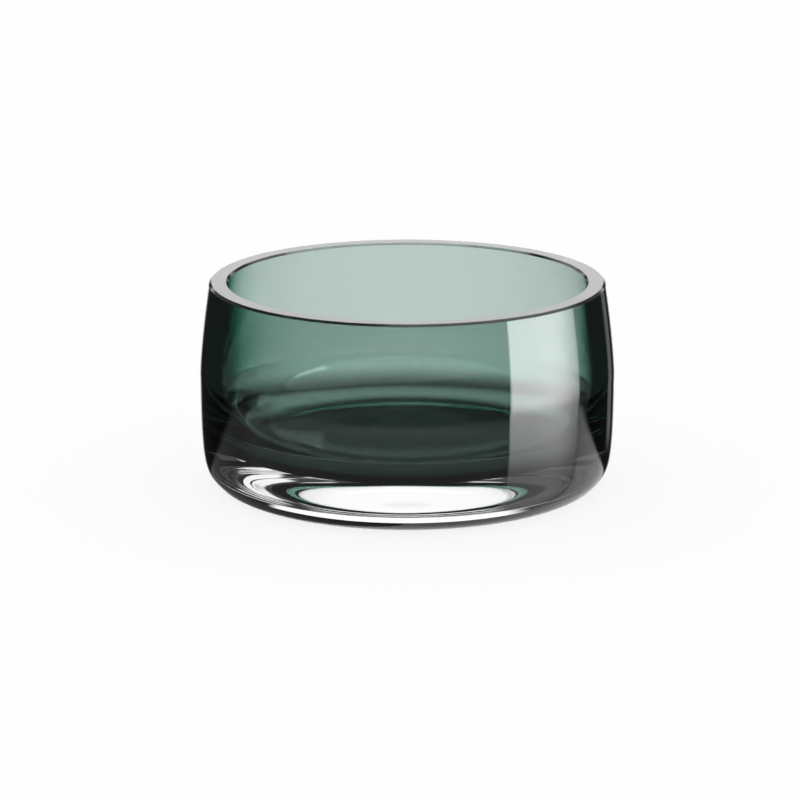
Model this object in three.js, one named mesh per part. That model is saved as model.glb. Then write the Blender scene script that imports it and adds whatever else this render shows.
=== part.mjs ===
// Thick-walled round glass bowl, mouth-blown in two gathers that are fused while hot:
//   clear_glass_casing   the outer gather of clear glass, with the heavy base and the flat foot
//   green_glass_lining   the thin inner gather of green glass, which is the bowl's coloured inside
// Sizes are in millimetres. The bowl stands on z = 0 with its axis on Z.

import * as THREE from "three";

// Overall form, read from the outline of the real bowl
const BOWL_HEIGHT = 100;
const BELLY_RADIUS = 100; // widest outer radius
const BELLY_HEIGHT = 55.7; // height of the widest ring
const RIM_RADIUS = 95; // outer radius at the rim, before its arris is taken off

// The heel's round, which leaves the flat foot without an edge
const FOOT_RADIUS = 84.1; // where the foot ends and the round starts
const HEEL_RADIUS = 13;
const HEEL_TURN = THREE.MathUtils.degToRad(50.7); // how steep the wall is where the round ends

// Handles that set how full the outline's two stretches above the round are
const HEEL_HANDLE = 6.5; // how far the wall runs straight on from the round
const BELLY_HANDLE_BELOW = 44.2; // how far the belly runs plumb below its widest ring
const BELLY_HANDLE_ABOVE = 5.9; // and above it
const RIM_HANDLE = 16.6; // how far the wall runs straight below the rim
const RIM_LEAN = 2.8; // how far it leans out over that stretch

// Glass thickness
const RIM_WALL = 9.2;
const BELLY_WALL = 10;
const BASE_THICKNESS = 20; // at the middle of the bowl's floor
const LINING_THICKNESS = 1.5;
const JOINT_GAP = 0.05; // kept between the two gathers, whose faces are fused on the real bowl

// The hollow inside
const FLOOR_RADIUS = 58; // where the floor starts to turn up
const FLOOR_RISE = 1.2; // dish of the floor over that radius
const FLOOR_HANDLE = 24;
const HOLLOW_HANDLE_BELOW = 24;
const HOLLOW_BELLY_HEIGHT = 56;

// Cold-worked edges of the rim
const ARRIS = 1.1;

// Facets
const TURN_SEGMENTS = 72;
const HEEL_STEPS = 5;
const BELLY_STEPS = 8;
const SIDE_STEPS = 7;
const FLOOR_STEPS = 3;
const HOLLOW_CORNER_STEPS = 9;

const point = (radius, height) => new THREE.Vector2(radius, height);

/** Points of a cubic curve, first and last included. */
function curve(start, startHandle, endHandle, end, steps) {
  return new THREE.CubicBezierCurve(start, startHandle, endHandle, end).getPoints(steps);
}

/** The point on a straight line from one point towards another, a given distance along it. */
function towards(from, to, distance) {
  return from.clone().add(to.clone().sub(from).setLength(distance));
}

/** Outside of the bowl, from the foot's edge up to the rim's. */
function outerOutline() {
  const level = -Math.PI / 2;
  const heel = new THREE.EllipseCurve(
    FOOT_RADIUS,
    HEEL_RADIUS,
    HEEL_RADIUS,
    HEEL_RADIUS,
    level,
    level + HEEL_TURN,
  ).getPoints(HEEL_STEPS);
  const heelTop = heel[HEEL_STEPS];
  const uphill = point(Math.cos(HEEL_TURN), Math.sin(HEEL_TURN));
  const belly = point(BELLY_RADIUS, BELLY_HEIGHT);
  const wall = curve(
    heelTop,
    towards(heelTop, heelTop.clone().add(uphill), HEEL_HANDLE),
    point(BELLY_RADIUS, BELLY_HEIGHT - BELLY_HANDLE_BELOW),
    belly,
    BELLY_STEPS,
  );
  const side = curve(
    belly,
    point(BELLY_RADIUS, BELLY_HEIGHT + BELLY_HANDLE_ABOVE),
    point(RIM_RADIUS + RIM_LEAN, BOWL_HEIGHT - RIM_HANDLE),
    point(RIM_RADIUS, BOWL_HEIGHT),
    SIDE_STEPS,
  );
  return [...heel, ...wall.slice(1), ...side.slice(1)];
}

/** Inside of the bowl, from the axis out over the floor and up to the rim, grown into the glass by depth. */
function hollowOutline(depth) {
  const floorHeight = BASE_THICKNESS - depth;
  const bellyRadius = BELLY_RADIUS - BELLY_WALL + depth;
  const rimRadius = RIM_RADIUS - RIM_WALL + depth;
  const floorEdge = point(FLOOR_RADIUS, floorHeight + FLOOR_RISE);
  const belly = point(bellyRadius, HOLLOW_BELLY_HEIGHT);
  const floor = curve(
    point(0, floorHeight),
    point(FLOOR_RADIUS / 2, floorHeight),
    towards(floorEdge, point(FLOOR_RADIUS / 2, floorHeight), FLOOR_RADIUS / 4),
    floorEdge,
    FLOOR_STEPS,
  );
  const corner = curve(
    floorEdge,
    towards(floorEdge, point(FLOOR_RADIUS / 2, floorHeight), -FLOOR_HANDLE),
    point(bellyRadius, HOLLOW_BELLY_HEIGHT - HOLLOW_HANDLE_BELOW),
    belly,
    HOLLOW_CORNER_STEPS,
  );
  const side = curve(
    belly,
    point(bellyRadius, HOLLOW_BELLY_HEIGHT + BELLY_HANDLE_ABOVE),
    point(rimRadius + RIM_LEAN, BOWL_HEIGHT - RIM_HANDLE),
    point(rimRadius, BOWL_HEIGHT),
    SIDE_STEPS,
  );
  return [...floor, ...corner.slice(1), ...side.slice(1)];
}

/** An outline whose last point is the corner that two ground faces share, with that corner ground off. */
function withArris(outline, faceDirection, size) {
  const corner = outline[outline.length - 1];
  const before = outline[outline.length - 2];
  return [
    ...outline.slice(0, -1),
    towards(corner, before, size),
    towards(corner, corner.clone().add(faceDirection), size),
  ];
}

/** A solid of revolution from a closed outline that starts and ends on the axis, or closes on itself. */
function turned(name, outline, material) {
  const mesh = new THREE.Mesh(new THREE.LatheGeometry(outline, TURN_SEGMENTS), material);
  mesh.rotation.x = Math.PI / 2; // a lathe turns about Y, and the bowl stands on Z
  mesh.name = name;
  return mesh;
}

function clearGlassCasing() {
  const outside = withArris(outerOutline(), point(-1, 0), ARRIS);
  const joint = hollowOutline(LINING_THICKNESS + JOINT_GAP).reverse();
  const outline = [point(0, 0), ...outside, ...joint];
  const clearGlass = new THREE.MeshStandardMaterial({
    color: 0xdfe8e6,
    roughness: 0.05,
    metalness: 0,
    transparent: true,
    opacity: 0.3,
  });
  return turned("clear_glass_casing", outline, clearGlass);
}

function greenGlassLining() {
  const joint = hollowOutline(LINING_THICKNESS);
  const inside = withArris(hollowOutline(0), point(1, 0), ARRIS).reverse();
  const greenGlass = new THREE.MeshStandardMaterial({
    color: 0x2f6b56,
    roughness: 0.05,
    metalness: 0,
    transparent: true,
    opacity: 0.6,
  });
  return turned("green_glass_lining", [...joint, ...inside], greenGlass);
}

const bowl = new THREE.Group();
bowl.add(clearGlassCasing(), greenGlassLining());

export default bowl;
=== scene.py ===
from itertools import pairwise
from math import cos, radians, sin

import bpy
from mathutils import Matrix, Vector
from mathutils.geometry import interpolate_bezier


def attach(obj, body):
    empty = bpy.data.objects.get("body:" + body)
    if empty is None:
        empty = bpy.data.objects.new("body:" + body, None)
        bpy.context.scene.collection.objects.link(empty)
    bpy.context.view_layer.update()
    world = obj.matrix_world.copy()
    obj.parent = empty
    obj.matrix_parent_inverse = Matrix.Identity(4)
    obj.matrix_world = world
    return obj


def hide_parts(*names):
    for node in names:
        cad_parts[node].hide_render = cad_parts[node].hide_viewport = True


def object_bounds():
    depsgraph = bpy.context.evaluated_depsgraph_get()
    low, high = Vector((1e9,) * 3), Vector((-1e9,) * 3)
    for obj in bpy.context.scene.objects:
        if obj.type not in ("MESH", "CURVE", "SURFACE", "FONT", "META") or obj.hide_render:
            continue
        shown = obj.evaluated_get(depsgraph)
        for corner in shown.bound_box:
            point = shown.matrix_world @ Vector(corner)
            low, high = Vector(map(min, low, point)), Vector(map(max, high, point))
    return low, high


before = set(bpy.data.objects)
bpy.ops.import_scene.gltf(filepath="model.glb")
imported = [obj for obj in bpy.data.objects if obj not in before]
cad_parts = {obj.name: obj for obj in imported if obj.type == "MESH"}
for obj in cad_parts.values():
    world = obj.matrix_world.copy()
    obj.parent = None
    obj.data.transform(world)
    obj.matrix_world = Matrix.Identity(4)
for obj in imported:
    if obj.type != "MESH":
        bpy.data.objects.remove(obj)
cad_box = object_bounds()


# The camera.
# A long lens a little above the table, square on to the bowl, so that the mouth shows as a flat
# ellipse and the base is seen through its own heel.
CAMERA_DISTANCE = 1.827  # metres
CAMERA_ELEVATION = radians(14.02)
LENS_MM = 170.2
SENSOR_MM = 36
FRAME_PIXELS = 800
AIM_PIXEL_X = 407.3  # where the middle of the bowl falls in the frame
AIM_PIXEL_Y = 380.9

bowl_height = cad_box[1].z
aim = Vector((0, 0, bowl_height / 2))

bpy.ops.object.camera_add(rotation=(radians(90) - CAMERA_ELEVATION, 0, 0))
camera = bpy.context.object
camera.name = "camera"
camera.location = aim + camera.matrix_basis.to_3x3() @ Vector((0, 0, CAMERA_DISTANCE))
camera.data.lens = LENS_MM
camera.data.sensor_width = SENSOR_MM
camera.data.shift_x = (FRAME_PIXELS / 2 - AIM_PIXEL_X) / FRAME_PIXELS
camera.data.shift_y = (AIM_PIXEL_Y - FRAME_PIXELS / 2) / FRAME_PIXELS
bpy.context.scene.camera = camera


# The studio.
# A white room over a white table. The glass sees black flags on both sides, which draw the dark edges
# that make clear glass readable, and mirrors one tall softbox on the right. The room that is seen
# through the glass and the rooms that it mirrors are set apart, as flags and polarised lamps do.


def srgb(code):
    """The linear colour, with alpha, of an sRGB hex code."""
    channels = [int(code[i : i + 2], 16) / 255 for i in (1, 3, 5)]
    linear = [c / 12.92 if c <= 0.04045 else ((c + 0.055) / 1.055) ** 2.4 for c in channels]
    return (*linear, 1)


def add_node(tree, kind, links=None, inputs=None, **settings):
    """Adds a node with its settings and socket values, and links its sockets to other nodes' outputs."""
    node = tree.nodes.new(kind)
    for key, value in settings.items():
        setattr(node, key, value)
    for key, value in (inputs or {}).items():
        node.inputs[key].default_value = value
    for key, output in (links or {}).items():
        tree.links.new(output, node.inputs[key])
    return node


def calc(tree, operation, *values):
    """The result of a math node on numbers and other nodes' outputs."""
    links = {i: value for i, value in enumerate(values) if isinstance(value, bpy.types.NodeSocket)}
    inputs = {i: value for i, value in enumerate(values) if i not in links}
    return add_node(tree, "ShaderNodeMath", links=links, inputs=inputs, operation=operation).outputs[0]


def fade(tree, value, zero_at, one_at):
    """A soft step of a value, from 0 at one of its levels to 1 at another."""
    step = add_node(
        tree,
        "ShaderNodeMapRange",
        links={"Value": value},
        inputs={"From Min": zero_at, "From Max": one_at},
        interpolation_type="SMOOTHSTEP",
    )
    return step.outputs[0]


def blend(tree, first, second, share):
    """The first level, replaced by the second for that share."""
    return calc(tree, "MULTIPLY_ADD", calc(tree, "SUBTRACT", second, first), share, first)


world = bpy.data.worlds.new("white_room")
bpy.context.scene.world = world
world.use_nodes = True
room = world.node_tree
room.nodes.clear()
direction = add_node(room, "ShaderNodeTexCoord").outputs["Generated"]
sight = add_node(room, "ShaderNodeSeparateXYZ", links={0: direction})
azimuth = calc(room, "DEGREES", calc(room, "ARCTAN2", sight.outputs["X"], sight.outputs["Y"]))
elevation = calc(room, "DEGREES", calc(room, "ARCSINE", sight.outputs["Z"]))


def between(angle, lowest, highest, soft):
    """1 where an angle in degrees lies between two others and 0 elsewhere, with a soft step at each."""
    middle = (lowest + highest) / 2
    half = (highest - lowest) / 2
    away = calc(room, "ABSOLUTE", calc(room, "WRAP", calc(room, "SUBTRACT", angle, middle), 180, -180))
    return fade(room, away, half + soft / 2, half - soft / 2)


def card(level, glow, azimuths, elevations, soft):
    """The room's level with a soft-edged card in it, that glows so much, at those angles in degrees."""
    cover = calc(
        room,
        "MULTIPLY",
        between(azimuth, *azimuths, soft[0]),
        between(elevation, *elevations, soft[1]),
    )
    return blend(room, level, glow, cover)


# Where things hang, in degrees. Azimuths run from +Y towards +X, and the camera looks along +Y.
ALL_ROUND = (-200, 200)
CAMERA_SIDE = (134, 226)
WINDOW = (-28, 28)
SOFTBOX = (71, 122)
BELOW = -100  # past straight down and straight up, so that no soft edge shows there
ABOVE = 100

# How bright they are, where 1 is the white of the table
BLACK = 0.0
ROOM_GLOW = 1.1
WINDOW_GLOW = 1.4
MIRRORED_WINDOW_GLOW = 1.05
SIDE_WINDOW_GLOW = 1.0
LEFT_WINDOW_GLOW = 0.9
CEILING_EDGE_GLOW = 0.6
DARK_INSIDE = 0.05
DARK_OUTSIDE = 0.08
FLAG_GLOW = 0.02
STRIP_GLOW = 0.3
SOFTBOX_RIM_GLOW = 0.12
DARK_CARD_GLOW = 0.25
BACKDROP_GLOW = 1.75
SOFTBOX_GLOW = 10.5
GLARE_GLOW = 1.4  # what the table mirrors of the softbox
TABLE_LEFT_GLOW = 0.2
TABLE_NEAR_GLOW = 0.35
TABLE_FAR_GLOW = 1.0

# Straight through the glass: white, with a black flag on each side of the window.
straight = ROOM_GLOW
straight = card(straight, BLACK, azimuths=(-75, -15), elevations=(-21, 2), soft=(22, 4))  # left flag
straight = card(straight, BLACK, azimuths=(-75, -22.7), elevations=(-6, 26), soft=(8, 6))  # its upper half
straight = card(straight, BLACK, azimuths=(22, 75), elevations=(-21, 3), soft=(16, 4))  # right flag
straight = card(straight, BLACK, azimuths=(30, 75), elevations=(-3, 19), soft=(4, 4))  # its upper half
straight = card(straight, WINDOW_GLOW, azimuths=WINDOW, elevations=(24, 50), soft=(8, 8))

# Mirrored inside the glass before it leaves: dark, with the windows and the ceiling.
inside = DARK_INSIDE
inside = card(inside, MIRRORED_WINDOW_GLOW, azimuths=WINDOW, elevations=(20, 52), soft=(8, 5))
inside = card(inside, SIDE_WINDOW_GLOW, azimuths=(20, 74), elevations=(24, 56), soft=(8, 6))
inside = card(inside, SIDE_WINDOW_GLOW, azimuths=(98, 140), elevations=(31, 43), soft=(5, 3))
inside = card(inside, SIDE_WINDOW_GLOW, azimuths=(98, 131), elevations=(40, 49), soft=(5, 3))
inside = card(inside, MIRRORED_WINDOW_GLOW, azimuths=CAMERA_SIDE, elevations=(53, ABOVE), soft=(10, 5))
inside = card(inside, MIRRORED_WINDOW_GLOW, azimuths=ALL_ROUND, elevations=(80, ABOVE), soft=(1, 5))
inside = card(inside, LEFT_WINDOW_GLOW, azimuths=(-90, -30), elevations=(22, 64), soft=(8, 5))
inside = card(inside, CEILING_EDGE_GLOW, azimuths=(68, 134), elevations=(57, 68), soft=(8, 4))
inside = card(inside, CEILING_EDGE_GLOW, azimuths=(-134, -90), elevations=(61, 71), soft=(8, 4))

# Mirrored by the outside of the glass: the softbox, the backdrop over two flags, and the table, whose far
# edge is mirrored the lower the more it lies towards the middle.
SOFTBOX_RAMP = (58, 96)  # azimuths over which the softbox grows brighter
GLARE_RAMP = (-8, -21)  # elevations over which its glare on the table takes its place
TABLE_EDGE = (-13.8, -14.8)
TABLE_SLANT = 0.12  # degrees down per degree of azimuth
SLANT_REACH = 70
TABLE_LEFT = (-80, -15)
TABLE_FAR = (-12, 72)
softbox_share = fade(room, azimuth, *SOFTBOX_RAMP)
glow_of_softbox = calc(room, "MULTIPLY", softbox_share, SOFTBOX_GLOW)
glow_of_glare = calc(room, "MULTIPLY", softbox_share, GLARE_GLOW)
softbox_glow = blend(room, glow_of_softbox, glow_of_glare, fade(room, elevation, *GLARE_RAMP))
sideways = calc(room, "MINIMUM", calc(room, "ABSOLUTE", azimuth), SLANT_REACH)
inwards = calc(room, "SUBTRACT", SLANT_REACH, sideways)
slanted_elevation = calc(room, "MULTIPLY_ADD", inwards, TABLE_SLANT, elevation)
table_share = fade(room, slanted_elevation, *TABLE_EDGE)
table_glow = blend(room, TABLE_NEAR_GLOW, TABLE_LEFT_GLOW, between(azimuth, *TABLE_LEFT, soft=20))
table_glow = blend(room, table_glow, TABLE_FAR_GLOW, between(azimuth, *TABLE_FAR, soft=8))
mirrored = DARK_OUTSIDE
mirrored = card(mirrored, FLAG_GLOW, azimuths=(-75, -18), elevations=(-30, 9), soft=(8, 2))
mirrored = card(mirrored, FLAG_GLOW, azimuths=(18, 62), elevations=(-30, 30), soft=(6, 2))
mirrored = blend(room, mirrored, table_glow, table_share)
mirrored = card(mirrored, ROOM_GLOW, azimuths=(-14, 14), elevations=(BELOW, 10), soft=(8, 2))
mirrored = card(mirrored, BACKDROP_GLOW, azimuths=ALL_ROUND, elevations=(9, ABOVE), soft=(1, 4))
mirrored = card(mirrored, SOFTBOX_RIM_GLOW, azimuths=(59, 71), elevations=(-14, 30), soft=(2, 1))
mirrored = card(mirrored, STRIP_GLOW, azimuths=(24, 32), elevations=(-16, 10), soft=(4, 2))

# Three dark cards over the bowl draw its rim's outer arris as a dark line. The second one is cut at a
# slant, so that the rim's flat stays light when it is seen from the front right. The softbox hangs before
# all of them.
CARD_SLANT = 0.9  # degrees up per degree of azimuth
CARD_CUT = (-13.8, -12.2)
mirrored = card(mirrored, DARK_CARD_GLOW, azimuths=(-120, -15), elevations=(34, 84), soft=(20, 8))
uncut = card(mirrored, DARK_CARD_GLOW, azimuths=(-66, -13), elevations=(12, 42), soft=(8, 6))
over_cut = fade(room, calc(room, "MULTIPLY_ADD", azimuth, CARD_SLANT, elevation), *CARD_CUT)
mirrored = blend(room, mirrored, uncut, over_cut)
mirrored = card(mirrored, DARK_CARD_GLOW, azimuths=(13, 46), elevations=(12, 46), soft=(10, 6))
mirrored = card(mirrored, softbox_glow, azimuths=SOFTBOX, elevations=(BELOW, 30), soft=(1.5, 4))

# What is dim straight through the wall is a little greener than what is bright, so that the glass is the
# deeper in colour where it is dark.
DIM_POWERS = (2.2, 1.15, 1.4)  # for red, green and blue
WALL_TOP = (6, 2)  # elevations past which light comes through the base instead

path = add_node(room, "ShaderNodeLightPath")
through = path.outputs["Is Transmission Ray"]
never_mirrored = calc(room, "LESS_THAN", path.outputs["Glossy Depth"], 0.5)
unbroken = calc(room, "MULTIPLY", through, never_mirrored)
through_wall = calc(room, "MULTIPLY", unbroken, fade(room, elevation, *WALL_TOP))
level = blend(room, 1.0, mirrored, path.outputs["Is Glossy Ray"])
level = blend(room, level, inside, through)
level = blend(room, level, straight, unbroken)
tinted = add_node(
    room,
    "ShaderNodeCombineColor",
    links={i: calc(room, "POWER", straight, power) for i, power in enumerate(DIM_POWERS)},
)
hue = add_node(
    room,
    "ShaderNodeMix",
    data_type="RGBA",
    links={0: through_wall, 6: level, 7: tinted.outputs[0]},
)
light = add_node(room, "ShaderNodeBackground", links={"Color": hue.outputs[2]})
add_node(room, "ShaderNodeOutputWorld", links={"Surface": light.outputs[0]})


# The table.
# A board with matt white lacquer, overexposed so that the camera sees little of the bowl's shadow. A
# glowing disc, seen only through the glass, holds a painted shadow under the bowl and a painted soft ring
# of light.
MM = 0.001
WHITE = "#FFFFFF"
TABLE_WHITE = "#FEFEFE"
TABLE_SIZE = 8000 * MM
TABLE_GAP = 0.2 * MM  # the bowl stands on a few high spots, so a film of air stays under its foot
OVEREXPOSED_SHARE = 0.85
SHADE_RADIUS = 200 * MM
SHADE_FACETS = 96
# Painted shadow and light on the disc: a dark core and shade under the bowl, a ring of gathered light.
CORE_EDGE = (40 * MM, 85 * MM)  # each edge is soft, from one distance to the other
SHADE_EDGE = (108 * MM, 165 * MM)
SIDE_EDGE = (160 * MM, 60 * MM)
RING_RADIUS = 104 * MM
RING_EDGE = (12 * MM, 3 * MM)
# the two dark spots are painted shadow of the bowl's heel
CORNER_ASIDE = 110 * MM  # a dark spot lies on either side behind the bowl
CORNER_BEHIND = 65 * MM
CORNER_EDGE = (16 * MM, 42 * MM)
CORE_GLOW = 0.04
SHADE_GLOW = 0.08
LIT_GLOW = 1.05
RING_GLOW = 0.55


def new_material(name):
    """An empty node material of that name, with its output node."""
    material = bpy.data.materials.new(name)
    material.use_nodes = True
    material.node_tree.nodes.clear()
    return material, material.node_tree, add_node(material.node_tree, "ShaderNodeOutputMaterial")


def span(tree, along, across):
    """The length of a line that runs so far along and so far across."""
    squares = calc(tree, "MULTIPLY_ADD", along, along, calc(tree, "MULTIPLY", across, across))
    return calc(tree, "SQRT", squares)


def brightness_of_shade(tree):
    """Painted shadow and light of the table seen through the glass, mostly by distance from the bowl's
    axis.
    """
    position = add_node(tree, "ShaderNodeTexCoord").outputs["Object"]
    place = add_node(tree, "ShaderNodeSeparateXYZ", links={0: position})
    aside = calc(tree, "ABSOLUTE", place.outputs["X"])
    behind = place.outputs["Y"]
    from_axis = span(tree, aside, behind)
    from_ring = calc(tree, "ABSOLUTE", calc(tree, "SUBTRACT", from_axis, RING_RADIUS))
    past_corner = calc(tree, "SUBTRACT", aside, CORNER_ASIDE)
    from_corner = span(tree, past_corner, calc(tree, "SUBTRACT", behind, CORNER_BEHIND))
    brightness = blend(tree, CORE_GLOW, SHADE_GLOW, fade(tree, from_axis, *CORE_EDGE))
    brightness = blend(tree, brightness, LIT_GLOW, fade(tree, from_axis, *SHADE_EDGE))
    brightness = blend(tree, brightness, RING_GLOW, fade(tree, from_ring, *RING_EDGE))
    brightness = calc(tree, "MULTIPLY", brightness, fade(tree, aside, *SIDE_EDGE))
    return calc(tree, "MULTIPLY", brightness, fade(tree, from_corner, *CORNER_EDGE))


def only_seen_by(piece, *kinds):
    """Hides a piece of the studio from every other kind of ray."""
    for kind in ("camera", "diffuse", "glossy", "transmission", "shadow", "volume_scatter"):
        setattr(piece, "visible_" + kind, kind in kinds)


bpy.ops.object.select_all(action="DESELECT")
bpy.ops.mesh.primitive_plane_add(size=TABLE_SIZE, location=(0, 0, -TABLE_GAP))
table = bpy.context.object
table.name = "table"
lacquer, tree, output = new_material("matt_white_table")
paint = add_node(tree, "ShaderNodeBsdfDiffuse", inputs={"Color": srgb(TABLE_WHITE)})
overexposed = add_node(tree, "ShaderNodeEmission", inputs={"Color": srgb(TABLE_WHITE), "Strength": 1.0})
camera_ray = add_node(tree, "ShaderNodeLightPath").outputs["Is Camera Ray"]
surface = add_node(
    tree,
    "ShaderNodeMixShader",
    links={
        0: calc(tree, "MULTIPLY", camera_ray, OVEREXPOSED_SHARE),
        1: paint.outputs[0],
        2: overexposed.outputs[0],
    },
)
tree.links.new(surface.outputs[0], output.inputs["Surface"])
table.data.materials.append(lacquer)
only_seen_by(table, "camera", "diffuse", "shadow")

bpy.ops.object.select_all(action="DESELECT")
bpy.ops.mesh.primitive_circle_add(
    vertices=SHADE_FACETS, radius=SHADE_RADIUS, fill_type="NGON", location=(0, 0, -TABLE_GAP)
)
shade = bpy.context.object
shade.name = "shade_on_table"
painted_shadow_material, tree, output = new_material("painted_table_shadow")
# the disc glows with the painted shadow and the painted ring of light
glow = add_node(
    tree,
    "ShaderNodeEmission",
    links={"Strength": brightness_of_shade(tree)},
    inputs={"Color": srgb(WHITE)},
)
tree.links.new(glow.outputs[0], output.inputs["Surface"])
shade.data.materials.append(painted_shadow_material)
only_seen_by(shade, "transmission")


# clear_glass_casing.
# The outer gather of clear glass, blown round into the form and left thick in the base. Its rim and
# foot are ground flat and polished. The rim's edge is taken off with a thin flat, the arris, which is only
# half polished and is painted grey, a painted shade that draws it as a dark line.
BELLY_HEIGHT = 55.7 * MM
RIM_RADIUS = 95 * MM
FOOT_RADIUS = 84.1 * MM
HEEL_RADIUS = 13 * MM
HEEL_TURN = radians(50.7)
HEEL_HANDLE = 6.5 * MM
BELLY_HANDLE_BELOW = 44.2 * MM
BELLY_HANDLE_ABOVE = 5.9 * MM
RIM_HANDLE = 16.6 * MM
RIM_LEAN = 2.8 * MM
RIM_WALL = 9.2 * MM
BELLY_WALL = 10 * MM
BASE_THICKNESS = 20 * MM
LINING_THICKNESS = 1.5 * MM
FLOOR_RADIUS = 58 * MM
FLOOR_RISE = 1.2 * MM
FLOOR_HANDLE = 24 * MM
HOLLOW_HANDLE_BELOW = 24 * MM
HOLLOW_BELLY_HEIGHT = 56 * MM
ARRIS = 1.1 * MM
TURN_STEPS = 192
HEEL_STEPS = 24
BELLY_STEPS = 32
SIDE_STEPS = 16
FLOOR_STEPS = 8
HOLLOW_CORNER_STEPS = 32
MERGE_DISTANCE = 0.001 * MM
JUST_BELOW = 0.01 * MM
LEVEL_FROM = 0.5  # faces that look farther up or down than this are level ones
UPRIGHT_FROM = 0.01  # and faces that look farther out or in than this are upright ones
ARRIS_TILTS = (0.4, 0.95)
SHARP_ANGLE = radians(25)
GLASS_IOR = 1.5
JOINT_IOR = 1.0  # two fused gathers are one body of glass, so light isn't bent between them
WAVE_LENGTH = 30 * MM  # the faint waves that blowing leaves in the surface
WAVE_HEIGHT = 0.12 * MM
# painted shade: a grey tint of the arris, which draws it as a dark line
ARRIS_PAINTED_SHADE = "#747C7A"
ARRIS_ROUGHNESS = 0.1

belly_radius = cad_box[1].x


def at(radius, height):
    """A point of an outline, which is drawn in the plane of X and Z."""
    return Vector((radius, 0, height))


def towards(start, end, distance):
    """The point that lies that far from start towards end."""
    return start + (end - start).normalized() * distance


def curve(start, start_handle, end_handle, end, steps):
    """Points of a cubic curve, first and last included."""
    return interpolate_bezier(start, start_handle, end_handle, end, steps + 1)


def outer_outline():
    """Outside of the bowl, from the foot's edge up to the rim."""
    belly = at(belly_radius, BELLY_HEIGHT)
    turns = [HEEL_TURN * i / HEEL_STEPS for i in range(HEEL_STEPS + 1)]
    heel = [at(FOOT_RADIUS + HEEL_RADIUS * sin(turn), HEEL_RADIUS * (1 - cos(turn))) for turn in turns]
    wall = curve(
        heel[-1],
        heel[-1] + at(cos(HEEL_TURN), sin(HEEL_TURN)) * HEEL_HANDLE,
        at(belly_radius, BELLY_HEIGHT - BELLY_HANDLE_BELOW),
        belly,
        BELLY_STEPS,
    )
    side = curve(
        belly,
        at(belly_radius, BELLY_HEIGHT + BELLY_HANDLE_ABOVE),
        at(RIM_RADIUS + RIM_LEAN, bowl_height - RIM_HANDLE),
        at(RIM_RADIUS, bowl_height),
        SIDE_STEPS,
    )
    return heel + wall[1:] + side[1:]


def hollow_outline(depth):
    """Inside of the bowl, from the middle of its floor up to the rim, that deep in the glass."""
    wall_radius = belly_radius - BELLY_WALL + depth
    rim_radius = RIM_RADIUS - RIM_WALL + depth
    floor_height = BASE_THICKNESS - depth
    floor_edge = at(FLOOR_RADIUS, floor_height + FLOOR_RISE)
    half_way = at(FLOOR_RADIUS / 2, floor_height)
    belly = at(wall_radius, HOLLOW_BELLY_HEIGHT)
    floor = curve(
        at(0, floor_height),
        half_way,
        towards(floor_edge, half_way, FLOOR_RADIUS / 4),
        floor_edge,
        FLOOR_STEPS,
    )
    corner = curve(
        floor_edge,
        towards(floor_edge, half_way, -FLOOR_HANDLE),
        at(wall_radius, HOLLOW_BELLY_HEIGHT - HOLLOW_HANDLE_BELOW),
        belly,
        HOLLOW_CORNER_STEPS,
    )
    side = curve(
        belly,
        at(wall_radius, HOLLOW_BELLY_HEIGHT + BELLY_HANDLE_ABOVE),
        at(rim_radius + RIM_LEAN, bowl_height - RIM_HANDLE),
        at(rim_radius, bowl_height),
        SIDE_STEPS,
    )
    return floor + corner[1:] + side[1:]


def turn(name, outline):
    """The closed solid that a point makes, drawn out along an outline in X and Z and then spun about Z."""
    bpy.ops.object.select_all(action="DESELECT")
    bpy.ops.mesh.primitive_circle_add(vertices=3, radius=ARRIS)
    piece = bpy.context.object
    piece.name = name
    bpy.ops.object.mode_set(mode="EDIT")
    bpy.ops.mesh.merge(type="CENTER")
    bpy.ops.transform.translate(value=outline[0])
    for start, end in pairwise(outline):
        bpy.ops.mesh.extrude_region_move(TRANSFORM_OT_translate={"value": end - start})
    bpy.ops.mesh.select_all(action="SELECT")
    bpy.ops.mesh.spin(steps=TURN_STEPS, angle=radians(360), center=(0, 0, 0), axis=(0, 0, 1))
    bpy.ops.mesh.select_all(action="SELECT")
    bpy.ops.mesh.remove_doubles(threshold=MERGE_DISTANCE)
    bpy.ops.mesh.normals_make_consistent(inside=False)
    bpy.ops.object.mode_set(mode="OBJECT")
    return piece


def away_from_axis(face):
    """How far a face lies from the bowl's axis, and how much it looks outwards, from -1 to 1."""
    outward = Vector((face.center.x, face.center.y, 0))
    return outward.length, face.normal.dot(outward.normalized())


def under_lining(face):
    """True if a face of the casing looks up from the bowl's floor or in from its wall, at the lining."""
    radius, outwards = away_from_axis(face)
    farthest = belly_radius - BELLY_WALL + 2 * LINING_THICKNESS
    if radius > farthest or face.center.z > bowl_height - JUST_BELOW:
        return False
    return face.normal.z > LEVEL_FROM or (face.normal.z > -LEVEL_FROM and outwards < -UPRIGHT_FROM)


def mark_arris(piece):
    """Marks the faces of a piece that were taken off the rim's edges, for roughness and a painted shade."""
    lowest, highest = ARRIS_TILTS
    mark = piece.data.attributes.new("half_polished_painted_shade", "FLOAT", "FACE")
    for face in piece.data.polygons:
        on_arris = face.center.z > bowl_height - ARRIS and lowest < face.normal.z < highest
        mark.data[face.index].value = 1.0 if on_arris else 0.0


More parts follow.
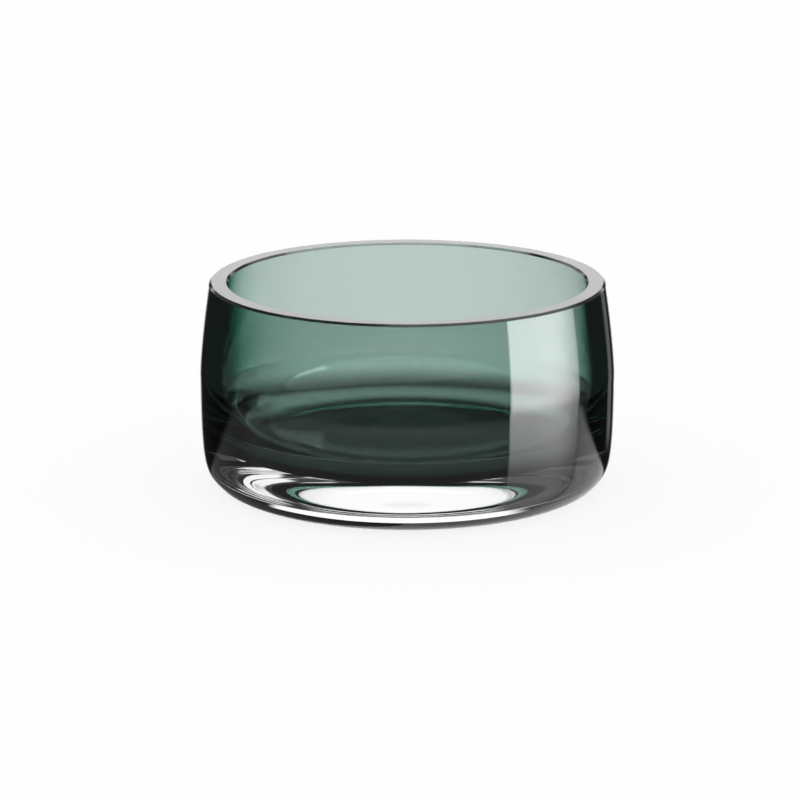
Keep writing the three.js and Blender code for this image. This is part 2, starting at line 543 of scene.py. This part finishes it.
def glass(name):
    """Blown soda-lime glass: bright and faintly wavy, softer where half polished, with painted shade
    greying the arris.
    """
    material, tree, output = new_material(name)
    spot = add_node(tree, "ShaderNodeTexCoord").outputs["Object"]
    waves = add_node(
        tree,
        "ShaderNodeTexNoise",
        links={"Vector": spot},
        inputs={"Scale": 1 / WAVE_LENGTH, "Detail": 0.0},
    )
    wavy = add_node(
        tree, "ShaderNodeBump", links={"Height": waves.outputs[0]}, inputs={"Distance": WAVE_HEIGHT}
    )
    # the arris mark makes the glass rougher there, and greys it as painted shade
    half_polished_painted_shade = add_node(tree, "ShaderNodeAttribute", attribute_name="half_polished_painted_shade").outputs["Fac"]
    tone = add_node(
        tree,
        "ShaderNodeMix",
        data_type="RGBA",
        links={0: half_polished_painted_shade},
        inputs={6: srgb(WHITE), 7: srgb(ARRIS_PAINTED_SHADE)},
    )
    surface = add_node(
        tree,
        "ShaderNodeBsdfPrincipled",
        links={
            "Base Color": tone.outputs[2],
            "Roughness": calc(tree, "MULTIPLY", half_polished_painted_shade, ARRIS_ROUGHNESS),
            "Normal": wavy.outputs[0],
        },
        inputs={"IOR": GLASS_IOR, "Transmission Weight": 1.0},
    )
    tree.links.new(surface.outputs[0], output.inputs["Surface"])
    return material, tree, surface, output


def smooth(piece):
    """Shades a piece smooth up to its ground edges."""
    bpy.ops.object.select_all(action="DESELECT")
    piece.select_set(True)
    bpy.context.view_layer.objects.active = piece
    bpy.ops.object.shade_smooth_by_angle(angle=SHARP_ANGLE)


outside = outer_outline()
rim_corner = outside[-1]
outer_arris = [towards(rim_corner, outside[-2], ARRIS), towards(rim_corner, at(0, bowl_height), ARRIS)]
hollow = hollow_outline(LINING_THICKNESS)
casing = turn("casing", [at(0, 0)] + outside[:-1] + outer_arris + hollow[::-1])
mark_arris(casing)
polished, *_ = glass("polished_clear_glass")
fused, tree, output = new_material("fused_joint")
joint = add_node(
    tree,
    "ShaderNodeBsdfPrincipled",
    inputs={"Base Color": srgb(WHITE), "Roughness": 0.0, "IOR": JOINT_IOR, "Transmission Weight": 1.0},
)
tree.links.new(joint.outputs[0], output.inputs["Surface"])
casing.data.materials.append(polished)
casing.data.materials.append(fused)
for face in casing.data.polygons:
    face.material_index = 1 if under_lining(face) else 0
smooth(casing)
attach(casing, "root")
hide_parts("clear_glass_casing")


# green_glass_lining.
# The thin inner gather of deep green glass. The clear gather was laid over it while both were hot, so
# the two are one body of glass, and all of the bowl's colour is in this skin.
LINING_ABSORPTION = 548.0  # per metre, in the red
LINING_HUE = "#009B82"
JOINT_OVERLAP = 0.02 * MM

back = hollow_outline(LINING_THICKNESS + JOINT_OVERLAP)
front = hollow_outline(0)
mouth_corner = front[-1]
inner_arris = [
    towards(mouth_corner, at(belly_radius, bowl_height), ARRIS),
    towards(mouth_corner, front[-2], ARRIS),
]
lining = turn("lining", back + inner_arris + front[-2::-1])
mark_arris(lining)
glass_ior = lining.data.attributes.new("glass_ior", "FLOAT", "FACE")
for face in lining.data.polygons:
    radius, outwards = away_from_axis(face)
    fused_face = face.normal.z < -LEVEL_FROM or (face.normal.z < LEVEL_FROM and outwards > UPRIGHT_FROM)
    glass_ior.data[face.index].value = JOINT_IOR if fused_face else GLASS_IOR
green, tree, surface, output = glass("green_glass")
ior = add_node(tree, "ShaderNodeAttribute", attribute_name="glass_ior")
tree.links.new(ior.outputs["Fac"], surface.inputs["IOR"])
tint = add_node(
    tree,
    "ShaderNodeVolumeAbsorption",
    inputs={"Color": srgb(LINING_HUE), "Density": LINING_ABSORPTION},
)
tree.links.new(tint.outputs[0], output.inputs["Volume"])
lining.data.materials.append(green)
smooth(lining)
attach(lining, "root")
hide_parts("green_glass_lining")


# The render.
# Light is mirrored many times inside the thick base before it leaves, so it is followed far, and the
# picture keeps plain sRGB tones.
MOST_BOUNCES = 40
MOST_MIRRORINGS = 20

cycles = bpy.context.scene.cycles
cycles.max_bounces = MOST_BOUNCES
cycles.transmission_bounces = MOST_BOUNCES
cycles.glossy_bounces = MOST_MIRRORINGS
bpy.context.scene.view_settings.view_transform = "Standard"
